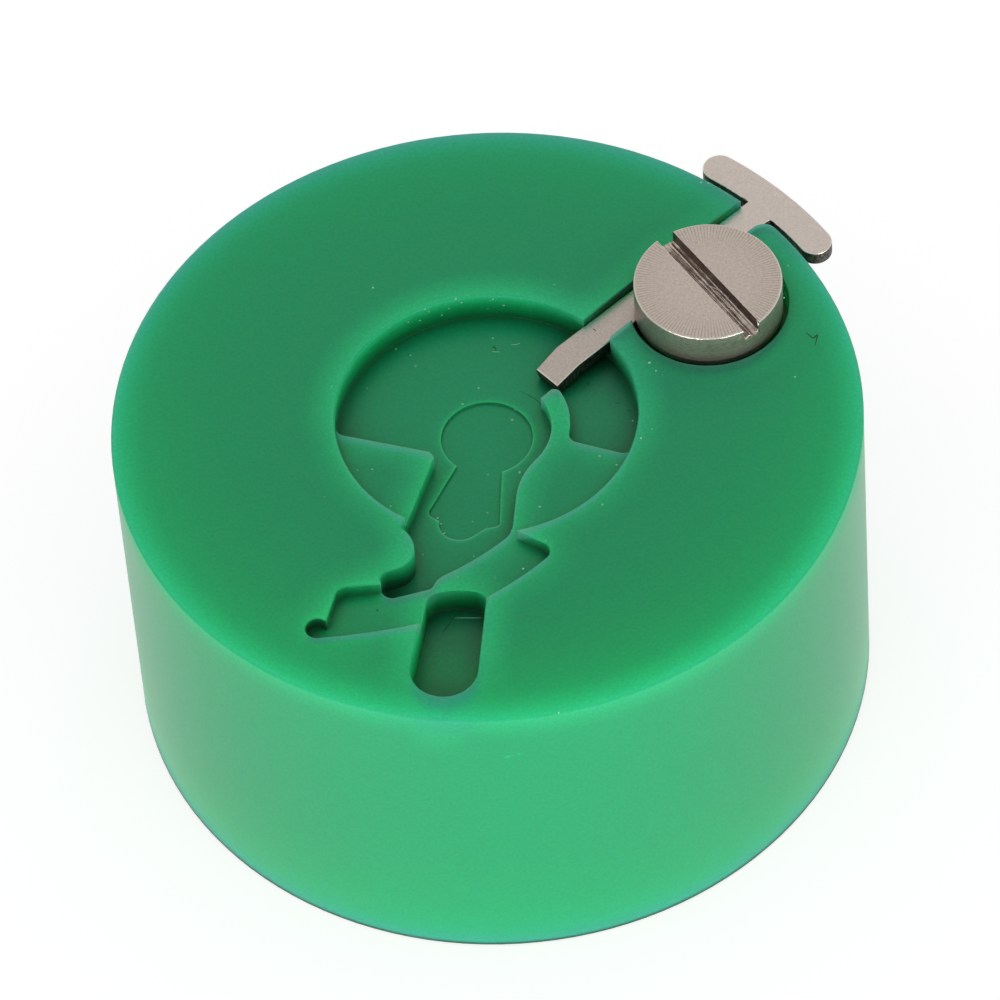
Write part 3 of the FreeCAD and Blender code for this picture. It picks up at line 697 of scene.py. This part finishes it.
def steel(name, light, dark, roughness, grain, stretch=(1, 1, 1), relief=0.3):
    """Bare steel. A noise with cells of grain millimetres runs from the dark tone to the light one
    and raises a fine relief. stretch draws the cells out along an axis where it is below 1, and
    squeezes them where it is above."""
    material, tree, out = new_material(name)
    place = add_node(tree, "TexCoord").outputs["Object"]
    drawn = add_node(tree, "Mapping", {"Vector": place, "Scale": stretch}).outputs[0]
    cells = add_node(tree, "TexNoise", {
        "Vector": drawn, "Scale": 1 / (grain * MM), "Detail": 3.0, "Roughness": 0.6}).outputs[0]
    even = add_node(tree, "MapRange", {
        "Value": cells, "From Min": NOISE_LOW, "From Max": NOISE_HIGH}).outputs[0]
    tone = add_node(tree, "Mix", {"Factor": even, "A": colour(dark), "B": colour(light)},
                    data_type="RGBA").outputs["Result"]
    bump = add_node(tree, "Bump", {
        "Height": even, "Strength": relief, "Distance": STEEL_DEEP * MM}).outputs[0]
    shader = add_node(tree, "BsdfPrincipled", {
        "Base Color": tone, "Metallic": 1.0, "Roughness": roughness, "Normal": bump})
    tree.links.new(shader.outputs[0], out.inputs[0])
    print(name, "grain", grain, "mm")
    return material, tree, tone, bump, shader


def finishes(piece, materials, which):
    """Gives a piece its materials, and each face the number that which works out for it from the
    face centres in millimetres and the face normals."""
    mesh = piece.data
    for material in materials:
        mesh.materials.append(material)
    centres, normals = np.empty(3 * len(mesh.polygons)), np.empty(3 * len(mesh.polygons))
    mesh.polygons.foreach_get("center", centres)
    mesh.polygons.foreach_get("normal", normals)
    numbers = which(centres.reshape(-1, 3) / MM, normals.reshape(-1, 3)).astype(np.int32)
    mesh.polygons.foreach_set("material_index", numbers)
    print(piece.name, "faces of each finish", np.bincount(numbers).tolist())


# %% [markdown]
# The slide's flat faces are satin from tumbling, a little darker on the stem than on the handle.
# Its rounded upper edges are burnished and catch a thin bright line. Its sides are where the press
# sheared the sheet and are torn across the plate, and their near-black tone is painted shade.

# %% The slide's finishes
UNDER_HEAD = 10.5
FLAT_FROM, EDGE_FROM = 0.93, 0.35

satin = steel("steel_tumbled_satin", 0xDFD3CA, 0xCFC3B9, roughness=0.38, grain=0.1)[0]
# The sheared sides' dark tone is painted shade; their torn relief is real.
sheared = steel("steel_sheared_painted_shade", 0x74706A, 0x1C1A18, roughness=0.5, grain=0.1,
                stretch=(1, 1, 0.5), relief=0.8)[0]
stem = steel("steel_stem_satin", 0xCBBFB6, 0xB6AAA0, roughness=0.38, grain=0.1)[0]
rolled = steel("steel_burnished_edge", 0xEAE0D8, 0xD0C6BC, roughness=0.28, grain=0.1)[0]


def slide_finish(centre, normal):
    """0 for the handle's flat faces, 1 for the stem's, which the screw's head parts from it, 2 for
    the rounded upper edges and 3 for the sheared sides, told apart by how far a face looks up."""
    upward = normal[:, 2]
    out = centre[:, 0] * math.cos(SLIDE_TURN) + centre[:, 1] * math.sin(SLIDE_TURN)
    flat_face = np.where(out > UNDER_HEAD, 0, 1)
    edge_or_side = np.where((upward > EDGE_FROM) & (upward < FLAT_FROM), 2, 3)
    return np.where(np.abs(upward) >= FLAT_FROM, flat_face, edge_or_side)


finishes(steel_slide, (satin, stem, rolled, sheared), slide_finish)

# %% [markdown]
# The screw's head was faced off on the lathe and carries fine radial lines, which grow clearer
# towards its rim. Its rounded rim is burnished, the side of the head is turned, and the slot is
# milled with a coarse cutter that left ridges along its floor and dull walls, whose dark tone is
# painted shade.

# %% The screw's finishes
turned = steel("steel_turned_side", 0xC0AEA8, 0x9C8E88, roughness=0.45, grain=0.2,
               stretch=(1, 1, 3))[0]
# The slot walls' dark tone is painted shade; their roughness and relief are real.
milled = steel("steel_slot_wall_painted_shade", 0x8A7A70, 0x50423C, roughness=0.4, grain=0.12,
               stretch=(0.3, 0.3, 1), relief=0.5)[0]
ridged = steel("steel_slot_floor", 0xF0E2D6, 0x9C8C82, roughness=0.3, grain=0.1,
               stretch=(0.25, 0.25, 1), relief=0.6)[0]
burnished = steel("steel_burnished_rim", 0xDCD2C8, 0xC4BAB0, roughness=0.3, grain=0.1)[0]
faced, tree, tone, bump, shader = steel("steel_faced", 0xD6C9BD, 0xBEB1A5, roughness=0.38, grain=0.12)

# %% The radial lines of the screw's face
LINES, LINE_TONE, LINE_WIDTH, LINE_BUMP, LINE_DEEP = 130, 0x998B80, 0.5, 0.5, 0.01
LINES_IN, LINES_FULL = 1.7, 2.9

place = add_node(tree, "TexCoord").outputs["Object"]
local = add_node(tree, "VectorMath", {
    0: place, 1: (SCREW_AXIS[0] * MM, SCREW_AXIS[1] * MM, FACE * MM)}, operation="SUBTRACT").outputs[0]
axes = add_node(tree, "SeparateXYZ", {0: local}).outputs
bearing = add_node(tree, "Math", {0: axes["Y"], 1: axes["X"]}, operation="ARCTAN2").outputs[0]
from_axis = add_node(tree, "VectorMath", {0: local}, operation="LENGTH").outputs["Value"]
wave = add_node(tree, "Math", {0: bearing, 1: LINES / 2}, operation="MULTIPLY").outputs[0]
wave = add_node(tree, "Math", {0: wave}, operation="SINE").outputs[0]
wave = add_node(tree, "Math", {0: wave}, operation="ABSOLUTE").outputs[0]
groove = add_node(tree, "MapRange", {
    "Value": wave, "From Min": 0.0, "From Max": LINE_WIDTH, "To Min": 1.0, "To Max": 0.0}).outputs[0]
outer = add_node(tree, "MapRange", {
    "Value": from_axis, "From Min": LINES_IN * MM, "From Max": LINES_FULL * MM}).outputs[0]
line = add_node(tree, "Math", {0: groove, 1: outer}, operation="MULTIPLY").outputs[0]
lined = add_node(tree, "Mix", {"Factor": line, "A": tone, "B": colour(LINE_TONE)},
                 data_type="RGBA").outputs["Result"]
tree.links.new(lined, shader.inputs["Base Color"])
cut = add_node(tree, "Bump", {
    "Height": line, "Strength": LINE_BUMP, "Distance": LINE_DEEP * MM, "Normal": bump},
    invert=True).outputs[0]
tree.links.new(cut, shader.inputs["Normal"])
print(LINES, "radial lines from", LINES_IN, "mm outwards")

# %% The screw's faces and their finishes
UNDER_FLOOR, WALL_BELOW = 0.2, 0.6


def screw_finish(centre, normal):
    """0 for the face, 1 for turned surfaces, 2 and 3 for the slot's walls and floor, which lie
    between the two chords, and 4 for the rounded rim."""
    x, y, z = (centre - (*SCREW_AXIS, 0)).T
    across = y * math.cos(SLOT_TURN) - x * math.sin(SLOT_TURN)
    of_slot = (np.abs(across) < HALF_SLOT + TOUCH) & (z > SLOT_FLOOR - UNDER_FLOOR)
    wall_or_floor = np.where(np.abs(normal[:, 2]) < WALL_BELOW, 2, 3)
    outside = np.where(z > FACE - TOUCH, 0, np.where(z > FACE - ROUND, 4, 1))
    return np.where(of_slot, wall_or_floor, outside)


finishes(steel_screw, (faced, turned, milled, ridged, burnished), screw_finish)

# %% [markdown]
# ## Marks of the work
#
# A fresh part still carries small traces: threads of swarf in the slot, crumbs of plastic, fine
# scratches in the nest's floors and a nick by the screw. Each is a thin thread, a six-sided tube
# along a few points that tapers to both ends. Those on a face are half sunk into it, and the swarf
# lies loose in the slot. They are real shapes rather than a pattern in the material, so each
# catches the light and casts its own small shadow.

# %% Threads
SIDES, PER_STEP, END_ANGLE = 6, 6, 0.05
ALMOST_UP = (0.1, 0.1, 1.0)


def threads(name, paths, body, material):
    """One piece of many threads. Every path is a thickness and its points in millimetres. The
    points are joined by straight runs, and each point is averaged with its neighbours. Round each
    goes a circle across the thread, whose radius is half the thickness times the root of a half
    sine, so the thread is round and full in the middle and fine at both ends."""
    points, faces, start = [], [], 0
    turn = np.linspace(0, -2 * math.pi, SIDES, endpoint=False)
    for thick, path in paths:
        path = np.array(path, float)
        steps = np.linspace(0, len(path) - 1, (len(path) - 1) * PER_STEP + 1)
        line = np.column_stack([np.interp(steps, np.arange(len(path)), part) for part in path.T])
        line[1:-1] = (line[:-2] + line[1:-1] + line[2:]) / 3
        ahead = np.gradient(line, axis=0)
        ahead /= np.linalg.norm(ahead, axis=1, keepdims=True)
        side = np.cross(ahead, ALMOST_UP)
        side /= np.linalg.norm(side, axis=1, keepdims=True)
        above = np.cross(side, ahead)
        swell = np.sqrt(np.sin(np.linspace(END_ANGLE, math.pi - END_ANGLE, len(line))))
        around = (np.cos(turn)[None, :, None] * side[:, None]
                  + np.sin(turn)[None, :, None] * above[:, None])
        tube = line[:, None] + thick / 2 * swell[:, None, None] * around
        points.append(tube.reshape(-1, 3))
        rings = np.arange(start, start + len(points[-1])).reshape(len(line), SIDES)
        for low, high in zip(rings, rings[1:]):
            faces += skin(low, high)
        faces += [rings[0][::-1].tolist(), rings[-1].tolist()]
        start += len(points[-1])
    piece = new_piece(name, np.concatenate(points), faces, sharp_above=80)
    piece.data.materials.append(material)
    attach(piece, body)


# %% Threads of steel
PLATE_TOP = SLIDE_UNDER + PLATE


def in_slot(rows):
    """Points given along the slot, across it and by height, turned to where the slot lies."""
    u, v, z = np.array(rows, float).T
    return np.column_stack((*turned_about_z(u, v, SLOT_TURN, SCREW_AXIS), z))


swarf = steel("steel_swarf", 0xF4ECE4, 0xD0C8C0, roughness=0.3, grain=0.1)[0]
threads("slot_swarf", [
    (0.035, in_slot([(-0.6, -0.2, 17.12), (-0.1, 0.0, 17.3), (0.5, 0.18, 17.4), (1.1, 0.3, 17.36)])),
    (0.03, in_slot([(-2.6, -0.2, 17.05), (-1.4, -0.12, 17.08), (0.2, -0.1, 17.06), (2.9, 0.05, 17.04)])),
    (0.03, in_slot([(-2.9, 0.05, 17.04), (-1.0, 0.1, 17.07), (1.4, 0.16, 17.12), (2.9, 0.2, 17.08)])),
    (0.028, in_slot([(0.4, -0.3, 17.05), (1.6, -0.28, 17.07), (3.0, -0.25, 17.03)])),
    (0.07, in_slot([(2.95, -0.33, 17.06), (3.14, -0.3, 17.0), (3.1, -0.1, 17.05), (3.16, 0.08, 17.0)])),
    (0.07, in_slot([(3.0, 0.42, 17.6), (3.12, 0.4, 17.45), (3.13, 0.41, 17.25)])),
    (0.05, in_slot([(3.1, 0.2, 17.06), (3.16, 0.32, 17.1), (3.1, 0.4, 17.2)])),
], "screw", swarf)
# The marks on the slide take the sheared steel, whose dark tone is painted shade.
threads("slide_marks", [
    (0.035, [(11.66, 11.4, PLATE_TOP), (11.82, 11.36, PLATE_TOP + 0.005),
             (11.95, 11.24, PLATE_TOP + 0.005), (12.03, 11.08, PLATE_TOP)]),
    (0.04, [(4.83, 4.74, PLATE_TOP), (4.98, 4.58, PLATE_TOP)]),
], "slide", sheared)

# %% [markdown]
# Where a tool tore the plastic, it has no shine and its tone is uneven. Thin crumbs look pale,
# because light passes straight through them, and scratches look dark, because they hold a shadow.

# %% Torn plastic
TORN_GRAIN, TORN_DEEP, TORN_BUMP, TORN_ROUGH = 0.05, 0.01, 0.4, 0.5


def torn_acetal(name, light, dark):
    """Acetal in two tones of a noise with cells of TORN_GRAIN, which also roughens it."""
    material, tree, out = new_material(name)
    place = add_node(tree, "TexCoord").outputs["Object"]
    cells = add_node(tree, "TexNoise", {
        "Vector": place, "Scale": 1 / (TORN_GRAIN * MM), "Detail": 2.0}).outputs[0]
    even = add_node(tree, "MapRange", {
        "Value": cells, "From Min": NOISE_LOW, "From Max": NOISE_HIGH}).outputs[0]
    tone = add_node(tree, "Mix", {"Factor": even, "A": colour(dark), "B": colour(light)},
                    data_type="RGBA").outputs["Result"]
    bump = add_node(tree, "Bump", {
        "Height": even, "Strength": TORN_BUMP, "Distance": TORN_DEEP * MM}).outputs[0]
    shader = add_node(tree, "BsdfPrincipled", {
        "Base Color": tone, "Roughness": TORN_ROUGH, "Normal": bump})
    tree.links.new(shader.outputs[0], out.inputs[0])
    print(name, "grain", TORN_GRAIN, "mm")
    return material


pale = torn_acetal("acetal_crumb", 0xBCE6D0, 0x94CEB0)
dark = torn_acetal("acetal_scratch", 0x0F5A3C, 0x063C26)

# %% [markdown]
# Crumbs lie on the top face and in the keyhole's eye, and shavings stick to the back wall of the
# round nest. Their places are X and Y in millimetres, and on the wall a bearing in degrees about
# the nest's middle and how far down. The five heights are those of the top face, the nest's
# shelf, its deep floor, the oblong pocket's floor and the keyhole's eye. FRONT lies just inside the
# block's side, so that the mark there doesn't stand past it.

# %% Crumbs
TOP, SHELF, DEEP, OBLONG, EYE = (top_face / MM - depth for depth in (0, 0.66, 1.42, 1.92, 1.56))
FRONT = -15.965
NEST, NEST_Y = 6.46, 0.29
CRUMB, CHIP, SHAVING = (0.08, (0.04, 0.01, 0)), (0.09, (0.05, 0.03, 0)), (0.06, (0.05, 0, 0.02))
CRUMB_UP, CHIP_UP = 0.01, 0.02
ON_TOP = [(13.43, 7.02), (13.11, 5.26), (13.21, 0.88), (7.13, 2.29), (7.35, 1.82), (10.08, 12.07),
          (-4.42, 7.66), (7.08, 2.29), (6.44, -1.77), (1.01, -8.22), (1.99, -15.86), (10.4, 12.01)]
IN_EYE = [(-2.42, -3.97), (-2.19, -4.82), (-2.3, -4.3)]
ON_WALL = [(96, 0.33), (101, 0.58), (104, 0.88), (109, 0.38), (113, 0.73), (118, 0.48), (84, 0.28),
           (80, 0.68)]


def crumb(kind, x, y, z):
    """A short thread with its middle at a point. Its kind is its thickness and how far it reaches
    to both sides of the middle."""
    thick, reach = kind
    return thick, [np.subtract((x, y, z), reach), np.add((x, y, z), reach)]


crumbs = [crumb(CRUMB, x, y, TOP + CRUMB_UP) for x, y in ON_TOP]
crumbs += [crumb(CHIP, x, y, EYE + CHIP_UP) for x, y in IN_EYE]
for bearing, down in ON_WALL:
    x, y = arc((0, NEST_Y), NEST, math.radians(bearing), math.radians(bearing), 1)[0]
    crumbs.append(crumb(SHAVING, x, y, TOP - down))
threads("crumbs", crumbs + [
    (0.03, [(0.46, 4.76, DEEP), (0.8, 4.7, DEEP)]),
    (0.03, [(1.3, 5.06, DEEP), (1.51, 5.04, DEEP), (1.7, 5.1, DEEP)]),
    (0.03, [(-2.04, -9.04, OBLONG), (-1.4, -9.1, OBLONG), (-0.87, -9.16, OBLONG)]),
    (0.06, [(-0.4, FRONT, 13.55), (-0.15, FRONT, 13.6)]),
], "block", pale)

# %% Scratches
threads("scratches", [
    (0.07, [(13.88, 3.28, TOP), (14.15, 2.89, TOP), (14.38, 3.12, TOP), (14.2, 2.48, TOP)]),
    (0.05, [(0.63, 5.1, DEEP), (0.5, 5.0, DEEP), (0.66, 4.9, DEEP), (0.55, 4.75, DEEP)]),
    (0.05, [(4.35, 2.65, DEEP), (4.5, 2.55, DEEP), (4.35, 2.45, DEEP)]),
    (0.04, [(5.5, 1.4, DEEP), (5.7, 1.36, DEEP)]),
    (0.04, [(6.0, 0.95, DEEP), (6.2, 0.85, DEEP)]),
    (0.05, [(-2.6, -9.8, OBLONG), (-2.3, -9.4, OBLONG), (-2.0, -9.0, OBLONG)]),
    (0.04, [(-7.5, -9.3, SHELF), (-7.37, -9.41, SHELF), (-7.2, -9.35, SHELF)]),
    (0.08, [(-5.25, -9.3, SHELF), (-5.17, -9.26, SHELF)]),
    (0.03, [(1.47, 2.47, DEEP), (2.0, 2.1, DEEP), (2.48, 1.54, DEEP)]),
    (0.05, [(0.15, FRONT, 13.72), (0.3, FRONT, 13.7)]),
], "block", dark)

# %% Bounds of the shown objects
low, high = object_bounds()
